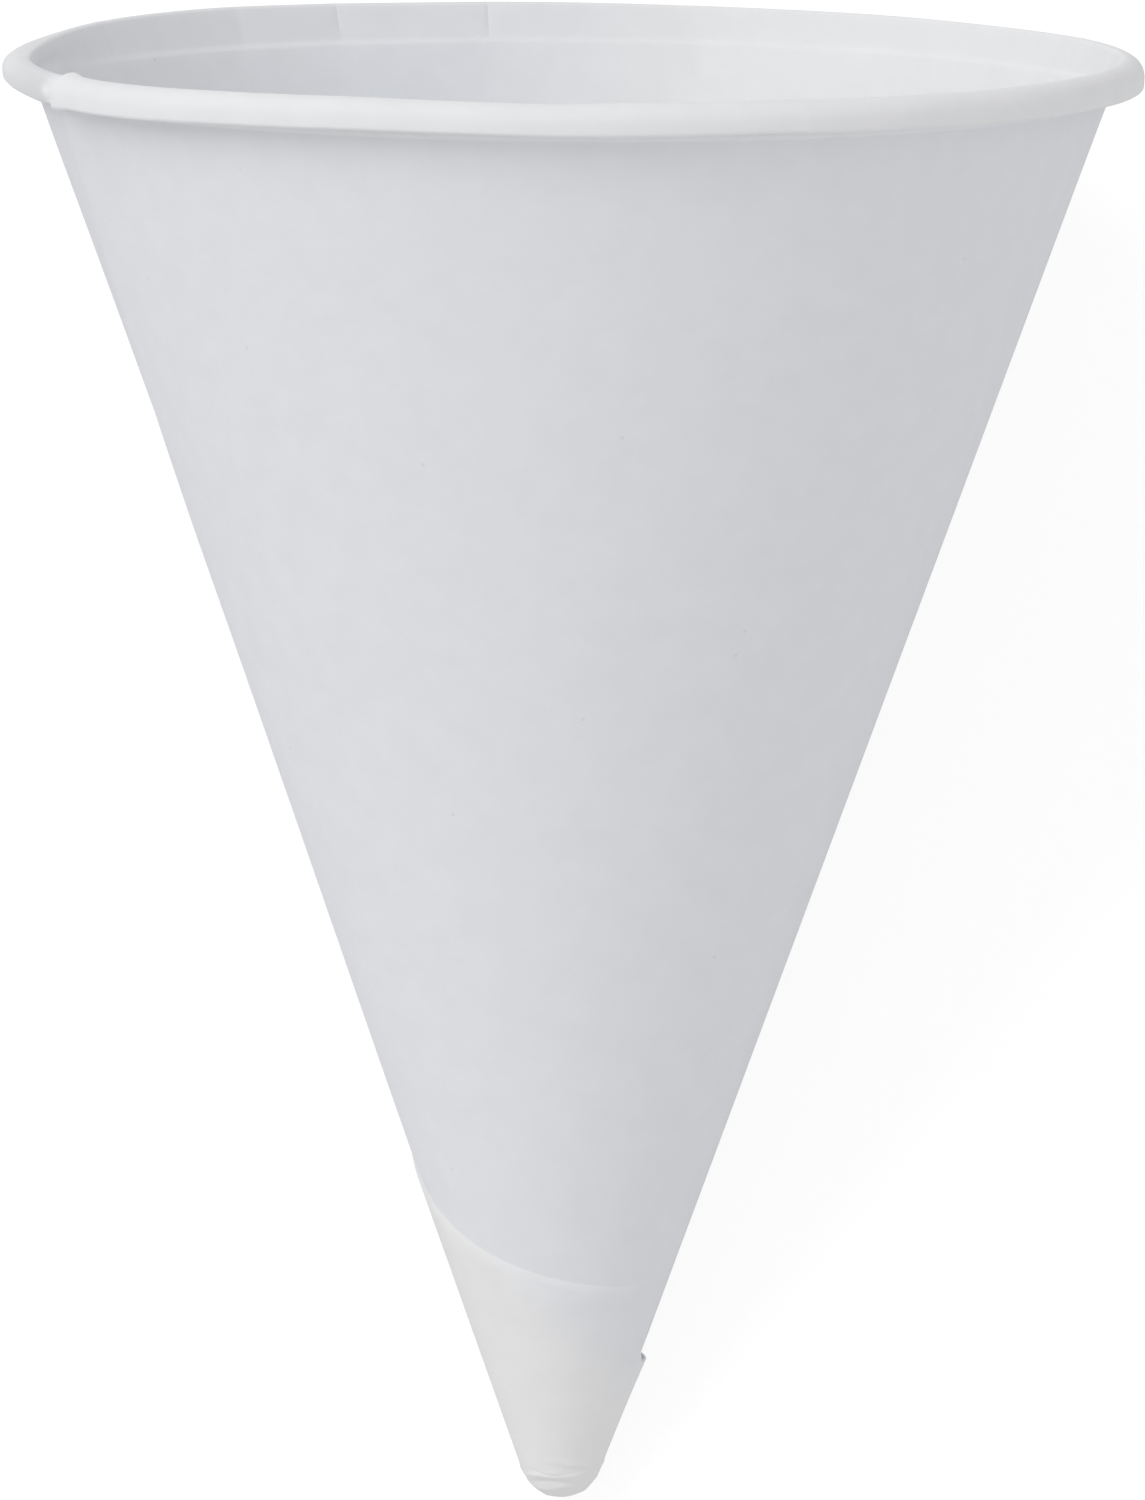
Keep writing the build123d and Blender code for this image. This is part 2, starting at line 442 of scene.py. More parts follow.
# %% Sizes of plies, edges and the tail
crush = 0.15                  # how much thinner the cut edge is
tail_lift = 0.28              # behind the knee the tail's end stands up by this much
tail_lift_run = 9.0
knee_blur = 3                 # the lift sets in over these degrees of the blank, up to the knee
slit_blur = 8                 # and it is gone at the slit, over these
end_press = 0.12              # in front of the knee the end is pressed down by this much
end_press_run = 1.6
end_press_low = -25           # degrees of the blank
seam_flare = 0.20             # at the rim seam the upper ply's edge stands up
seam_flare_run = 1.8
seam_high = -250              # the upper ply's edge is below this angle of the blank
seam_sink_run = 26.0          # beside it the lower ply stays sunk by a ply for a while
seam_open_run = 15.0          # and its curl has sprung open
seam_open_under = 3           # under the upper ply it opens over this length
edge_blur = 0.4               # a turn is taken to end over this length
far = 1000.0                  # stands for no edge nearby

# %% How far in from an edge a point lies
def smooth(share):
    share = np.clip(share, 0, 1)
    return share * share * (3 - 2 * share)


def fall(distance, run):
    """1 at no distance, bending down to 0 after the run."""
    return np.clip(1 - distance / run, 0, 1) ** 2


def inside_edge(radius, angle):
    """How far in from the blank's straight edge a point lies, less than 0 outside it."""
    return np.where(np.abs(angle) < 90, edge_distance - radius * np.cos(np.radians(angle)), far)


def inner_turn(radius, angle):
    """How far in from the blank's inner end a point lies."""
    from_slit = radius * np.radians(angle + 360 - slit_angle)
    return np.minimum(inside_edge(radius, angle + 360), from_slit)


def outer_turn(radius, angle):
    """How far in from the blank's outer end a point lies."""
    from_slit = radius * np.radians(slit_angle - angle)
    return np.minimum(inside_edge(radius, angle), from_slit)


def sharply_there(inside):
    """1 on a turn and 0 off it."""
    return smooth(inside / edge_blur + 0.5)


def beside_seam(radius, angle):
    """How far past the inner end, on the turn that comes out from under it, a point lies."""
    return -inside_edge(radius, angle - turn_of_sheet + 360)


def there(inside):
    """1 on a turn, falling to 0 over the climb outside its edge."""
    return smooth((inside + climb_run) / climb_run)


def from_line(x, y, line):
    """How far in from a cut a point lies."""
    square, distance = line
    return distance - x * cos(radians(square)) - y * sin(radians(square))


# %% How high it lies there
def past_knee(angle):
    """0 in front of the tail's knee and 1 behind it."""
    return smooth((angle - knee_angle) / knee_blur + 1)


def on_rim(distance):
    """0 on the wall and 1 from the lip on."""
    foot = starts["ledge foot"]
    return smooth((distance - foot) / (starts["lip"] - foot))


def tail_rise(radius, angle):
    """How far the tail stands up behind the knee, and the turns below it with it."""
    rise = 0
    for turns in (0, 1, 2):
        outer_angle = angle + turns * turn_of_sheet
        x, y = radius * np.cos(np.radians(outer_angle)), radius * np.sin(np.radians(outer_angle))
        inside = np.maximum(from_line(x, y, low_line), 0)
        behind = past_knee(outer_angle) * smooth((slit_angle - outer_angle) / slit_blur)
        below = smooth(inside / tail_hollow) if turns else 1
        rise = rise + behind * below * fall(inside, tail_lift_run)
    return tail_lift * rise


def paper_height(x, y, angle, distance):
    """Height of the middle of the paper above the mandrel."""
    radius = np.hypot(x, y)
    under = sum(there(inner_turn(radius, angle - turns * turn_of_sheet)) for turns in (1, 2))
    curled = on_rim(distance)
    beside = beside_seam(radius, angle)
    sunk = np.where(beside > 0, 1 - smooth(beside / seam_sink_run), 0)
    height = ply * ((1 - curled) * under + curled * np.maximum(under, sunk) + 0.5)
    # The crushed cut edge outside
    height -= crush * (1 - curled) * np.clip(1 - inside_edge(radius, angle) / crushed_run, 0, 1)
    # The tail's end
    from_end = np.maximum(from_line(x, y, tail_line), 0)
    front = (angle > end_press_low) * fall(from_end, end_press_run)
    height -= end_press * front * (1 - past_knee(angle))
    height += tail_rise(radius, angle)
    # The seam across the curl
    on_top = (angle < seam_high) * curled
    return height - seam_flare * on_top * fall(from_line(x, y, seam_line), seam_flare_run)


def opening(radius, angle):
    """How far the lower ply's curl has opened, from 0 to 1."""
    beside = beside_seam(radius, angle)
    out_of_it = 1 - smooth(beside / seam_open_run)
    under_it = 1 - smooth(-beside / seam_open_under)
    return np.where(beside > 0, out_of_it, under_it)


# %% [markdown]
# Dents, flats and folds
#
# A paper cup is never quite round. All turns bend together, so these are shifts that depend
# only on the place on the finished cup. The left side of the wall is a little hollow. The rim
# has flats between its creases, it dips and rises, and the curl swells and thins along its
# length. At the left the lip is pressed in, and just above the nose the wall is wrinkled.

# %% Sizes of the hollow, the rim and the folds
hollow_depth = 0.27
hollow_azimuth = -90.0
hollow_half_width = 75.0      # degrees
hollow_low = 28.1             # it starts this far from the cone's point
hollow_skew = 1.3             # above 1 it is deepest above the middle
flats = [
    # from azimuth, to azimuth, 1 for quite flat and 0 for round
    (-141.7, -120.4, 0.25), (-154.1, -141.7, 0.45), (-171.0, -154.1, 0.85), (112.0, 147.0, 0.2),
]
flat_run = 4.0                # the wall follows the rim's flats this far down
crease_run = 0.5              # creases deepen over this length above the ledge
swells = [
    # azimuth, share of the curl's size, half width in degrees
    (-52.0, 0.03, 9.0), (-9.0, -0.05, 8.0), (5.5, 0.055, 4.0), (26.0, 0.02, 7.0),
    (75.0, 0.03, 9.0), (128.0, -0.04, 9.0), (-160.0, 0.03, 12.0), (-110.0, -0.03, 10.0),
]
swell_run = 1.0               # from the lip on
rises = [
    # azimuth, height, half width in degrees
    (-137.0, 0.33, 24.0), (-175.0, 0.12, 18.0), (-56.0, -0.32, 18.0), (-108.0, -0.08, 12.0),
    (-22.0, 0.06, 6.0), (-2.0, -0.07, 6.0), (21.0, 0.08, 5.0), (48.0, -0.05, 7.0),
]
lip_presses = [
    # azimuth, depth at the lip, half width in degrees
    (-97.0, 1.0, 15.0),
]
rim_waves = [
    # waves round the rim, height, start in radians
    (5, 0.030, 0.4), (11, 0.022, 2.1), (19, 0.014, 4.0), (31, 0.009, 0.9),
]
wrinkles = [
    # degrees along the nose and up the wall, azimuth, half length, height, half width
    (89, 22, 24, 0.075, 4.5), (83, 26, 20, -0.045, 4.5), (77, -18, 22, 0.07, 4.0),
    (72, -30, 34, -0.05, 4.5), (95, -8, 16, 0.03, 4.5), (86, 84, 30, 0.05, 5.0),
    (80, 140, 34, 0.05, 5.0), (90, -165, 30, 0.05, 5.0), (78, -96, 30, 0.05, 4.5),
]
fold_sway = 3                 # degrees that a fold goes up and down along its length
fold_sways = 4                # this many times round the cup
fold_start = 9                # each degree up the nose moves the sway on by these degrees
fold_bow = 3                  # degrees that its ends lie higher than its middle
edge_rise = 0.26              # the sheet's end round the nose is ragged by this much
edge_waves = [
    # waves round the nose, share, start in radians
    (1, 0.30, 0.2), (3, 0.14, 0), (8, 0.06, 0),
]
edge_run = 1.2                # the sheet follows its ragged end this far up

# %% Waves and bulges round the cup
def turned_to(azimuth, place):
    """Degrees from a place on the cup, from -180 to 180."""
    return (azimuth - place + 180) % 360 - 180


def waving(azimuth, waves):
    """Sum of waves that go round the cup."""
    return sum(size * np.sin(np.radians(count * azimuth) + start) for count, size, start in waves)


def bulging(azimuth, bulges):
    """Sum of smooth bulges, each at one azimuth."""
    return sum(size * np.exp(-(turned_to(azimuth, place) / half_width) ** 2)
               for place, size, half_width in bulges)


# %% Shifts that all turns share
def hollow(azimuth, distance):
    """Outwards, on the wall, and less than 0 because the hollow goes in."""
    low = walk_distance(hollow_low)
    share = np.clip((distance - low) / (starts["ledge foot"] - low), 0, 1)
    off = np.clip(turned_to(azimuth, hollow_azimuth) / hollow_half_width, -1, 1)
    return -hollow_depth * np.sin(pi * share ** hollow_skew) * np.cos(off * pi / 2) ** 2


def rim_shift(azimuth, distance):
    """Outwards, on the rim and a little below it."""
    shift = waving(azimuth, rim_waves)
    for start, end, share in flats:
        half = (end - start) / 2
        off = np.minimum(np.abs(turned_to(azimuth, start + half)), half)
        shift += share * lip_r * (cos(radians(half)) / np.cos(np.radians(off)) - 1)
    above_ledge = smooth((distance - starts["ledge top"]) / crease_run)
    for place, height in creases:
        off = np.abs(turned_to(azimuth, place)) / crease_half_width
        shift += height * np.clip(1 - off, 0, 1) * above_ledge
    return shift * smooth((distance - starts["ledge foot"] + flat_run) / flat_run)


def lip_press(azimuth, distance):
    """How far the lip is pressed in."""
    up_the_neck = (distance - starts["neck"]) / (starts["lip"] - starts["neck"])
    return smooth(up_the_neck) * bulging(azimuth, lip_presses)


# %% Folds and the ragged end
def folded(up, azimuth, folds):
    """How far the folds stand out at a place."""
    out = 0
    for fold_up, middle, half_length, height, half_width in folds:
        off = turned_to(azimuth, middle) / half_length
        sway = fold_sway * np.sin(np.radians(fold_sways * azimuth + fold_start * fold_up))
        above = (up - fold_up - sway - fold_bow * off ** 2) / half_width
        out = out + height * np.exp(-above ** 2) * np.clip(1 - off ** 2, 0, 1)
    return out


def ragged(azimuth, distance):
    """The sheet's end round the nose goes up and down."""
    end_share = np.clip(1 - (distance - nose_open) / edge_run, 0, 1)
    return edge_rise * (0.5 + waving(azimuth, edge_waves)) * end_share


# %% [markdown]
# Winding and laying down
#
# With these the winding itself is short. The wound cup is laid down in the same step, so that
# its object stays at the origin with its place in its mesh.

# %% Laying down
def laid_down(r, azimuth, z):
    """Points of the upright cup, in millimetres, as points of the lying cup, in metres."""
    x = r * np.sin(np.radians(azimuth))
    y = -r * np.cos(np.radians(azimuth))
    upright = np.stack([x, y, z - lip_z + rim_seat_drop], axis=1) * millimetre
    return upright @ np.array([cup_right, cup_back, cup_axis]) + np.array(seat["pos_m"])


# %% Winding
def wind(obj):
    """Move the flat sheet's points to their places on the lying cup."""
    x, y, ramp = read_points(obj.data).T
    radius = np.hypot(x, y)
    angle = sheet_angle(ramp)
    azimuth = near_azimuth + angle / sin(slope)
    distance = walk_distance(radius)
    distance = distance + ragged(azimuth, distance)
    height = paper_height(x, y, angle, distance)
    height = height + folded(np.degrees(distance / nose_radius), azimuth, wrinkles)
    places = []
    for section in (stretches, opened_stretches):
        r, z, heading = np.array([on_section(step, section) for step in distance]).T
        places.append((r + height * np.sin(heading), z - height * np.cos(heading)))
    open_share = opening(radius, angle)
    r, z = (closed + open_share * (opened - closed) for closed, opened in zip(*places))
    # The press is deepest at the lip and gone at the curl's side
    out_on_curl = np.clip((r - lip_r) / (rim_diameter / 2 - lip_r), 0, 1)
    r = r - lip_press(azimuth, distance) * (1 - out_on_curl)
    # The curl swells away from the lip, and the rim rises along the wall
    swell = bulging(azimuth, swells) * smooth((distance - starts["lip"]) / swell_run)
    rise = bulging(azimuth, rises) * on_rim(distance)
    r = r + (r - lip_r) * swell + rim_shift(azimuth, distance) + hollow(azimuth, distance)
    r = r + rise * tan(slope)
    z = z + (z - lip_z + curl_radius) * swell + rise
    lying = laid_down(r, azimuth, z)
    # Where the cup rests, the soft paper is pressed flat
    lying[:, 2] = np.maximum(lying[:, 2], paper_thickness / 2 * millimetre)
    obj.data.vertices.foreach_set("co", lying.ravel())
    obj.data.update()
    bpy.context.view_layer.update()


flat_x, flat_y, flat_ramp = read_points(cup.data).T
wind(cup)
print("wound", [round(side / millimetre, 1) for side in cup.dimensions], "mm")

# %% [markdown]
# Pressed places, painted light and painted shade
#
# Rolling and wrapping press the paper hard, and pressed paper looks a little whiter and less
# bluish than the rest of the wall. The same whiter colour also stands for light: the inside of
# the cup is given painted light, and a painted highlight runs along the crushed cut edge
# outside, where it faces the light. One ply lets some light through, so where the sheet lies
# single it is given painted shade, a little darker. So is the curl that has sprung open beside
# the seam, and the torn spot on it is drawn lighter.
# Two attributes on the sheet's points tell the finish about it. "pressed_or_lit" goes from 0
# to 1. "painted_ply_shade" is above 0 where painted shade darkens the paper and below 0 where
# the paper is drawn lighter.

# %% Sizes of these places
rim_whiter = 0.5              # how pressed the rim is, from the ledge on
rim_whiter_run = 0.6          # mm
wrap_start = on_blank(20.5, blank_angle(-20.0))
wrap_end = on_blank(14.2, blank_angle(40.0))
wrap_line = line_through(wrap_start, wrap_end)  # the tail is pressed on the tip's side of this
wrap_blur = 3                 # mm
wrap_low = -55                # and above this, in degrees of the blank
inside_light = 0.8           # painted light: the first part of the sheet, inside the cup, is drawn whiter
inside_high = -192            # degrees of the blank
inside_blur = 8
edge_highlight_share = 1.2       # painted highlight along the cut edge, over this share of the crushed run
edge_low = -60                # degrees of the blank
edge_high = 5
edge_high_blur = 30
single_ply_shade_weight = 0.7           # painted shade where the sheet lies single, in the attribute's units
# painted shade on the curl that has sprung open beside the seam
opened_curl_shade_weight = 3
opened_low = -220             # degrees of the blank, above those of the upper ply
opened_run = 0.4              # mm from the lip on
torn_lighter = 4.4
torn_drop = 0.75              # mm down the face of the curl

# %% The attributes that the finish reads
def mark(obj, name, values):
    """Give every point of an object a number that its material can read."""
    attribute = obj.data.attributes.new(name, "FLOAT", "POINT")
    attribute.data.foreach_set("value", values)


flat_r = np.hypot(flat_x, flat_y)
flat_angle = sheet_angle(flat_ramp)
flat_distance = walk_distance(flat_r)

rim_pressed = smooth((flat_distance - starts["ledge foot"]) / rim_whiter_run)
tip_pressed = smooth(from_line(flat_x, flat_y, wrap_line) / wrap_blur + 0.5)
tip_pressed *= flat_angle > wrap_low
# Painted light: the inside of the cup is drawn whiter
inside_lit = inside_light * smooth((inside_high - flat_angle) / inside_blur)
# Painted highlight: the crushed cut edge is drawn whiter where it faces the light
edge_highlight = smooth(edge_highlight_share - inside_edge(flat_r, flat_angle) / crushed_run)
edge_highlight *= smooth((edge_high - flat_angle) / edge_high_blur) * (flat_angle > edge_low)
# Pressed paper, with painted light inside the cup and a painted highlight along the cut edge
pressed_or_lit_places = [rim_whiter * rim_pressed, tip_pressed, inside_lit, edge_highlight]
mark(cup, "pressed_or_lit", np.max(pressed_or_lit_places, axis=0))

below = [inner_turn(flat_r, flat_angle - turns * turn_of_sheet) for turns in (1, 2)]
above = outer_turn(flat_r, flat_angle + turn_of_sheet)
others = sum(sharply_there(inside) for inside in below) + sharply_there(above)
painted_ply_shade = np.clip(1 - others, 0, 1)
opened = opening(flat_r, flat_angle) * smooth((flat_distance - starts["lip"]) / opened_run)
opened *= flat_angle > opened_low
torn_off = (flat_angle - blank_angle(torn_azimuth, 1)) / sin(slope) / torn_width
torn_up = (flat_distance - starts["face"] - torn_drop) / torn_height
torn = np.exp(-torn_off ** 2 - torn_up ** 2)
# Painted shade where the sheet lies single and on the sprung-open curl; the torn spot is drawn
# lighter
painted_darkening = np.maximum(single_ply_shade_weight * painted_ply_shade, opened_curl_shade_weight * opened)
mark(cup, "painted_ply_shade", painted_darkening - torn_lighter * torn)
print("pressed points", int((rim_pressed + tip_pressed > 0.5).sum()))

# %% [markdown]
# The paper's own thickness
#
# Solidify gives the sheet its two faces and its cut edges. The paper is a little thinner than
# a ply's share, so the turns lie close together without touching.

# %% Thickness
sheet_sharp = radians(32)     # what bends more than this between two faces is shown sharp
apply(cup, "SOLIDIFY", thickness=paper_thickness * millimetre, offset=0)
only(cup)
bpy.ops.object.shade_smooth_by_angle(angle=sheet_sharp)
print("sheet", len(cup.data.polygons), "faces")

# %% [markdown]
# The crushed tip
#
# Where the wound sheet ends round the nose, the last of the paper is crushed into a blunt plug.
# It starts as a sphere with its upper part cut off, and folds are raised across it: short
# ridges and grooves, each with its place on the nose and its size.

# %% Sizes of the nose
plug_radius = 2.63
plug_top = 0.35               # the plug goes this far up inside the sheet, from its middle
plug_sharp = radians(60)
folds = [
    # degrees up from the pole, azimuth, half length, height, half width
    (70, 22, 26, 0.10, 4.0), (66, -32, 40, 0.10, 3.5), (57, -14, 52, -0.12, 4.0),
    (46, -26, 48, 0.11, 4.0), (34, 12, 60, -0.07, 6.0), (62, 96, 44, 0.04, 5.0),
    (50, 130, 40, -0.06, 5.0), (60, 176, 46, 0.06, 4.5), (44, -150, 50, 0.06, 5.0),
    (66, -108, 34, -0.06, 4.5), (38, 90, 40, 0.05, 6.0), (24, -70, 90, 0.04, 6.0),
]

# %% The nose
bpy.ops.object.select_all(action="DESELECT")
bpy.ops.mesh.primitive_uv_sphere_add(segments=96, ring_count=80, radius=plug_radius)
nose = bpy.context.object
nose.name = "crushed_nose"
bpy.ops.object.mode_set(mode="EDIT")
bpy.ops.mesh.bisect(plane_co=(0, 0, plug_top), plane_no=(0, 0, 1), clear_outer=True, use_fill=True)
bpy.ops.object.mode_set(mode="OBJECT")
points = read_points(nose.data)
azimuth = np.degrees(np.arctan2(points[:, 0], -points[:, 1]))
up = np.degrees(np.arccos(np.clip(-points[:, 2] / plug_radius, -1, 1)))
grown = 1 + folded(up, azimuth, folds) / plug_radius
r = np.hypot(points[:, 0], points[:, 1]) * grown
z = points[:, 2] * grown + plug_radius
lying = laid_down(r, azimuth, z)
# The cup rests on the plug too, so it is pressed flat there
lying[:, 2] = np.maximum(lying[:, 2], 0)
nose.data.vertices.foreach_set("co", lying.ravel())
nose.data.update()
mark(nose, "pressed_or_lit", np.ones(len(nose.data.vertices)))
mark(nose, "painted_ply_shade", np.zeros(len(nose.data.vertices)))
only(nose)
bpy.ops.object.shade_smooth_by_angle(angle=plug_sharp)
cup.select_set(True)
bpy.context.view_layer.objects.active = cup
bpy.ops.object.join()
print("with its nose", len(cup.data.polygons), "faces")

# %% [markdown]
# The paper
#
# The real paper is bleached and uncoated, made on a wire mesh and only lightly smoothed between
# rollers. That gives the eye a matt, slightly cloudy white with a cool tint, a fine tooth of
# fibres, and here and there a small dark speck of bark or fibre.
# The tooth and the clouds are noise at real sizes. The tooth is drawn a little coarser than
# real fibres, because those are too fine to show. The specks are the middles of Voronoi cells:
# cells are cut by the thin sheet at random, so few of the middles come near its surface.

# %% Small tools for materials
def linear(hex_colour):
    """An sRGB hex colour as linear red, green, blue and alpha."""
    channels = [int(hex_colour[start:start + 2], 16) / 255 for start in (1, 3, 5)]
    return [c / 12.92 if c <= 0.04045 else ((c + 0.055) / 1.055) ** 2.4 for c in channels] + [1]


def add(owner, kind, settings=(), plugs=(), **links):
    """Add a node, set its properties and inputs, and link other nodes' outputs to it.

    links go to inputs by their names, and plugs to the first inputs in their order.
    """
    tree = owner.node_tree
    node = tree.nodes.new("ShaderNode" + kind)
    for name, value in dict(settings).items():
        if hasattr(node, name):
            setattr(node, name, value)
        else:
            node.inputs[name].default_value = value
    for socket, output in zip(node.inputs, plugs):
        tree.links.new(socket, output)
    for name, output in links.items():
        tree.links.new(node.inputs[name.replace("_", " ")], output)
    return node


def new_material(name):
    material = bpy.data.materials.new(name)
    material.use_nodes = True
    material.node_tree.nodes.clear()
    return material


# %% Sizes of the finish
wall_colour = "#ECEEF2"
# Pressed paper's colour, also used for painted light inside the cup and a painted highlight along
# the cut edge
pressed_or_lit_colour = "#F1F1F2"
wall_roughness = 0.88
pressed_roughness = 0.72
tooth_size = 0.45             # mm
tooth_depth = 0.018           # from the lowest to the highest fibre
cloud_size = 2.2
cloud_depth = 0.008
cloud_low = 0.3               # nearly all of the noise is between these
cloud_high = 0.7
cloud_dark = 0.985
cloud_light = 1.008
cockle_size = 9.0
cockle_depth = 0.05
speck_spacing = 4.0
speck_radius = 0.14
speck_core = 0.6              # the share of a speck's radius that is quite dark
speck_dark = 0.90
# Painted shade, read from the attribute painted_ply_shade
shade_limit = 3.0            # of the attribute, both ways
shade_change = 0.12          # the paper is darker or lighter by this share there
per_metre = 1 / millimetre

# %% Uncoated cup paper
paper = new_material("uncoated_bleached_paper")
place = add(paper, "TexCoord").outputs["Object"]
# Pressed paper, and painted light inside the cup and a painted highlight along the cut edge
pressed_or_lit = add(paper, "Attribute", {"attribute_name": "pressed_or_lit"}).outputs["Fac"]
tooth = add(paper, "TexNoise", {"Scale": per_metre / tooth_size, "Detail": 3.0, "Roughness": 0.6},
            Vector=place)
clouds = add(paper, "TexNoise", {"Scale": per_metre / cloud_size, "Detail": 2.0}, Vector=place)
cockle = add(paper, "TexNoise", {"Scale": per_metre / cockle_size, "Detail": 1.0}, Vector=place)
specks = add(paper, "TexVoronoi", {"Scale": per_metre / speck_spacing}, Vector=place)

# In this node the two colours are inputs 6 and 7, and the mixed colour is output 2
# The second colour goes on pressed paper and is also painted light inside the cup and a painted
# highlight on the cut edge
tint = add(paper, "Mix", {"data_type": "RGBA"}, [pressed_or_lit])
tint.inputs[6].default_value = linear(wall_colour)
tint.inputs[7].default_value = linear(pressed_or_lit_colour)
cloudy = add(paper, "MapRange", {"From Min": cloud_low, "From Max": cloud_high,
                                 "To Min": cloud_dark, "To Max": cloud_light},
             Value=clouds.outputs["Fac"])
speck_edge = speck_radius / speck_spacing
speckled = add(paper, "MapRange", {"From Min": speck_core * speck_edge, "From Max": speck_edge,
                                   "To Min": speck_dark, "To Max": 1.0},
               Value=specks.outputs["Distance"])
# Painted shade: the paper is drawn darker where it lies single and on the sprung-open curl, and
# lighter at the torn spot
ply_shade_input = add(paper, "Attribute", {"attribute_name": "painted_ply_shade"}).outputs["Fac"]
painted_shade_factor = add(paper, "MapRange", {"From Min": -shade_limit, "From Max": shade_limit,
                                       "To Min": 1 + shade_change, "To Max": 1 - shade_change},
                   Value=ply_shade_input)
speckled_clouds = add(paper, "Math", {"operation": "MULTIPLY"},
                      [cloudy.outputs[0], speckled.outputs[0]])
# Random tone and specks, times the painted shade
tone_and_painted_shade = add(paper, "Math", {"operation": "MULTIPLY"},
            [speckled_clouds.outputs[0], painted_shade_factor.outputs[0]])
colour = add(paper, "VectorMath", {"operation": "SCALE"}, [tint.outputs[2]], Scale=tone_and_painted_shade.outputs[0])

# %% Its relief and its shader
fine = add(paper, "Bump", {"Strength": 1.0, "Distance": tooth_depth * millimetre},
           Height=tooth.outputs["Fac"])
broad = add(paper, "Bump", {"Strength": 1.0, "Distance": cloud_depth * millimetre},
            Height=clouds.outputs["Fac"], Normal=fine.outputs["Normal"])
slow = add(paper, "Bump", {"Strength": 1.0, "Distance": cockle_depth * millimetre},
           Height=cockle.outputs["Fac"], Normal=broad.outputs["Normal"])
matt = add(paper, "MapRange", {"To Min": wall_roughness, "To Max": pressed_roughness}, Value=pressed_or_lit)
shader = add(paper, "BsdfPrincipled", {"IOR": 1.48, "Specular IOR Level": 0.25},
             Base_Color=colour.outputs[0], Roughness=matt.outputs[0], Normal=slow.outputs["Normal"])
add(paper, "OutputMaterial", Surface=shader.outputs["BSDF"])

cup.data.materials.append(paper)
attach(cup, "root")
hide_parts("cone_cup")
print("paper has", len(paper.node_tree.nodes), "nodes")

# %% [markdown]
# The floor
#
# The photograph has a plain white ground. A white floor under soft light would throw too much
# light back at the cup, so the floor is a pale grey to everything but the camera. To the camera
# it is mostly a glow of its own, with enough matt white added to keep the cup's shadow.

# %% Floor
floor_side = 3.0              # metres
floor_colour = "#E8E8E8"      # to everything but the camera
floor_glow = 0.78
floor_matt = 0.33
bpy.ops.object.select_all(action="DESELECT")
bpy.ops.mesh.primitive_plane_add(size=floor_side)
floor = bpy.context.object
floor.name = "floor"
floor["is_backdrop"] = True
ground = new_material("matt_white_card")
to_others = add(ground, "BsdfDiffuse", {"Color": linear(floor_colour)}).outputs[0]
shadowed = add(ground, "BsdfDiffuse", {"Color": [floor_matt] * 3 + [1]}).outputs[0]
glow = add(ground, "Emission", {"Color": [1, 1, 1, 1], "Strength": floor_glow}).outputs[0]
to_camera = add(ground, "AddShader", plugs=[shadowed, glow]).outputs[0]
path = add(ground, "LightPath").outputs["Is Camera Ray"]
either = add(ground, "MixShader", plugs=[path, to_others, to_camera])
add(ground, "OutputMaterial", Surface=either.outputs[0])
floor.data.materials.append(ground)
print("floor", floor_side, "m")

# %% [markdown]
# The light
#
# In the photograph one broad lamp stands to the left of the cup, in front of it and above the
# rim. The rest comes from all round, a little weaker from the lamp's side and from above the
# rim, and a little stronger from the right and from below. All of it is given in the cup's own
# directions, so the lying cup is lit as the standing one was.

# %% Lamp
lamp_azimuth = radians(-46)
lamp_height = radians(36)
lamp_distance = 4.0           # metres
lamp_size = 2.6
lamp_power = 70.0             # watts

middle_drop = 44.9            # mm from the lip down to the middle of the picture
middle_right = 0.4            # mm from the cup's axis to it
target = Vector(laid_down(np.zeros(1), np.zeros(1), np.array([lip_z - middle_drop]))[0])
target.x += middle_right * millimetre
level = cup_right * sin(lamp_azimuth) - cup_back * cos(lamp_azimuth)
to_lamp = level * cos(lamp_height) + cup_axis * sin(lamp_height)
bpy.ops.object.light_add(type="AREA", location=target + to_lamp * lamp_distance)
lamp = bpy.context.object
lamp.name = "soft_lamp"
lamp.data.size = lamp_size
lamp.data.energy = lamp_power
lamp.rotation_euler = to_lamp.to_track_quat("Z", "Y").to_euler()
print("lamp at", [round(v, 2) for v in lamp.location])

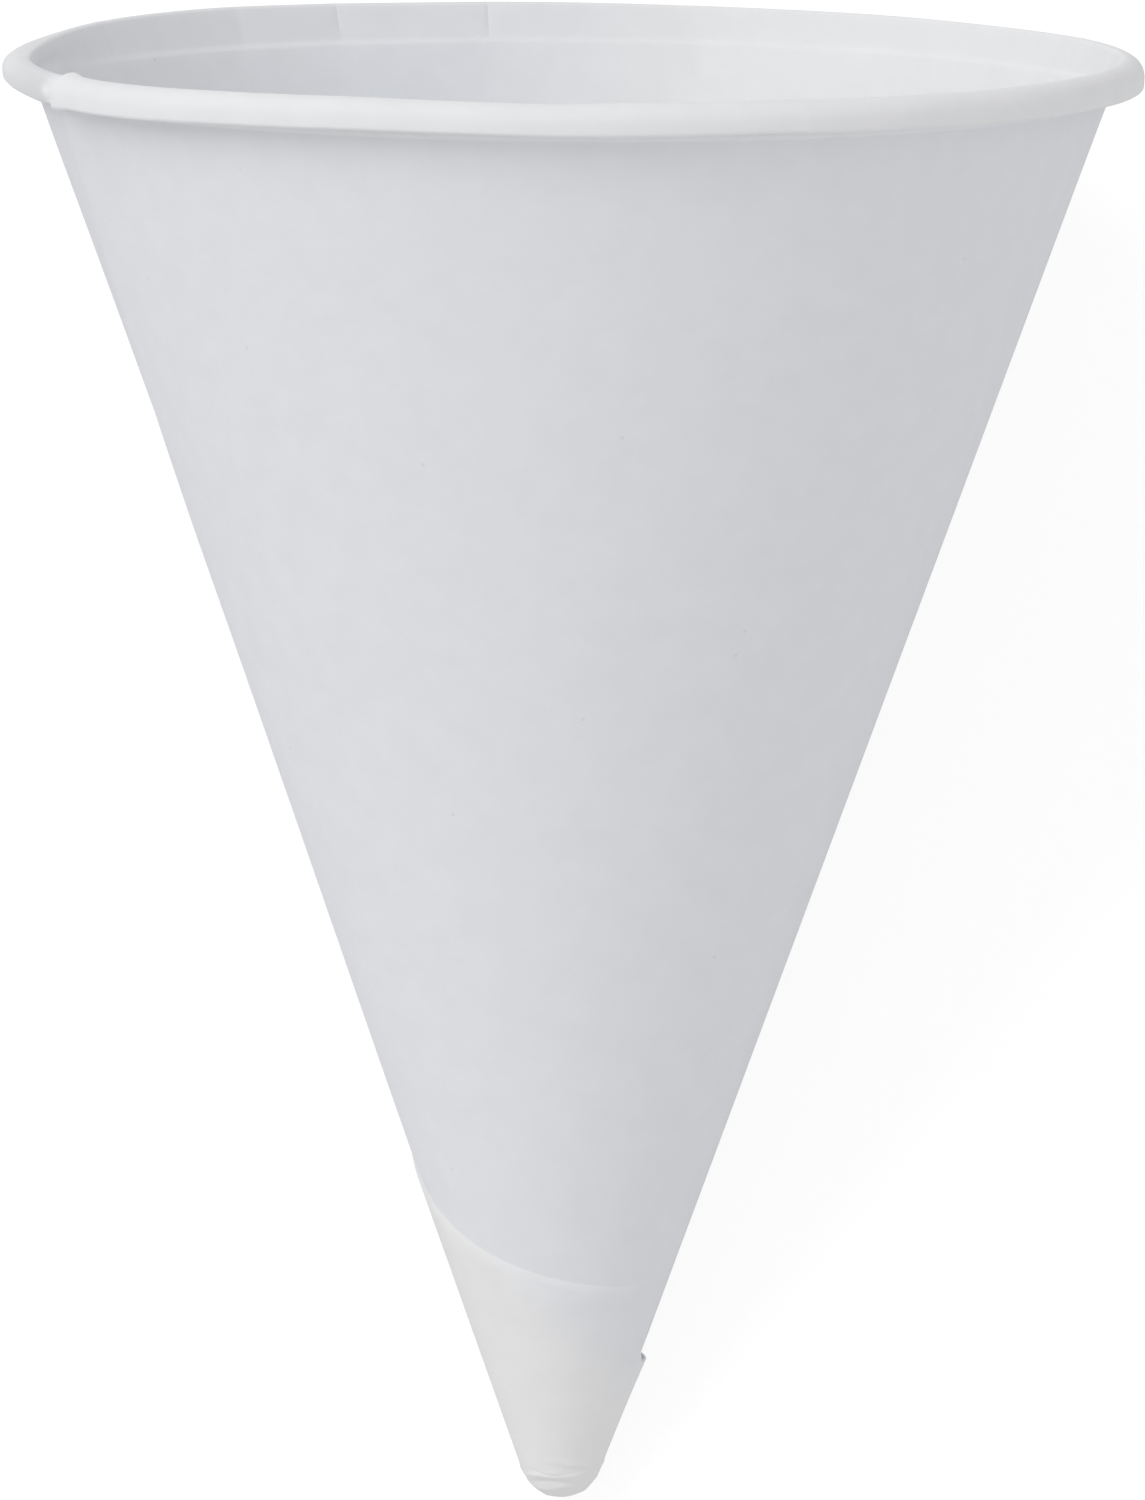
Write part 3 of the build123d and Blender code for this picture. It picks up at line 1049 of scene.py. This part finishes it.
# %% Sky
sky_strength = 0.63
sky_tilt = 0.17               # the sky is weaker by this much in its weakest direction
weakest = (0.6 * cup_axis - 0.8 * cup_right).normalized()
sky = bpy.data.worlds.new("studio")
bpy.context.scene.world = sky
sky.use_nodes = True
background = sky.node_tree.nodes["Background"]
background.inputs["Color"].default_value = (1, 1, 1, 1)
direction = add(sky, "TexCoord").outputs["Generated"]
along = add(sky, "VectorMath", {"operation": "DOT_PRODUCT"}, [direction])
along.inputs[1].default_value = weakest
dimming = add(sky, "MapRange", {"From Min": -1.0, "To Min": sky_strength + sky_tilt,
                                "To Max": sky_strength - sky_tilt}, Value=along.outputs["Value"])
sky.node_tree.links.new(background.inputs["Strength"], dimming.outputs[0])
bpy.context.scene.view_settings.view_transform = "Standard"
print("sky from", round(sky_strength - sky_tilt, 2), "to", round(sky_strength + sky_tilt, 2))

# %% [markdown]
# The camera
#
# The photograph looks at an upright cup, from far away and from only a little above its rim. The
# lying cup is seen the same way when the camera looks down on it: the camera's place is found
# from the cup's own axis. A long lens from 1.5 m keeps the near and far side of the rim in the
# photograph's proportion, and its length follows from how wide the rim is in the picture.

# %% Camera
rim_elevation = radians(5.1)  # of the camera above the plane of the rim
camera_distance = 1.5         # metres from the lip's centre
picture_height = 1500         # pixels
rim_span = 1141               # pixels, over the rolled rim
roll = radians(0.43)
film_height = 24              # mm

lip_centre = Vector(laid_down(np.zeros(1), np.zeros(1), np.array([lip_z]))[0])
eye = lip_centre + camera_distance * (cup_axis * sin(rim_elevation) - cup_back * cos(rim_elevation))
backwards = (eye - target).normalized()
side = cup_axis.cross(backwards).normalized()
above = backwards.cross(side)
rolled_side = side * cos(roll) + above * sin(roll)
rolled_above = above * cos(roll) - side * sin(roll)
turned = Matrix([rolled_side, rolled_above, backwards]).transposed().to_4x4()

lens = bpy.data.cameras.new("camera")
camera = bpy.data.objects.new("camera", lens)
bpy.context.scene.collection.objects.link(camera)
bpy.context.scene.camera = camera
camera.matrix_world = Matrix.Translation(eye) @ turned
lens.sensor_fit = "VERTICAL"
lens.sensor_height = film_height
rim_share = rim_span / picture_height
lens.lens = rim_share * camera_distance / (rim_diameter * millimetre) * film_height
lens.clip_start = 0.1
print("lens", round(lens.lens, 1), "mm")

# %% [markdown]
# The sizes
#
# The finished piece's box is printed beside the CAD part's box. The finished piece may
# stand out of the CAD part's box by about 3% of each side.

# %% Sizes and the end
low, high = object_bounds()
for name, lowest, highest in (("CAD", cad_low, cad_high), ("visual", low, high)):
    print(name, [round(v / millimetre, 2) for v in (*lowest, *highest)])
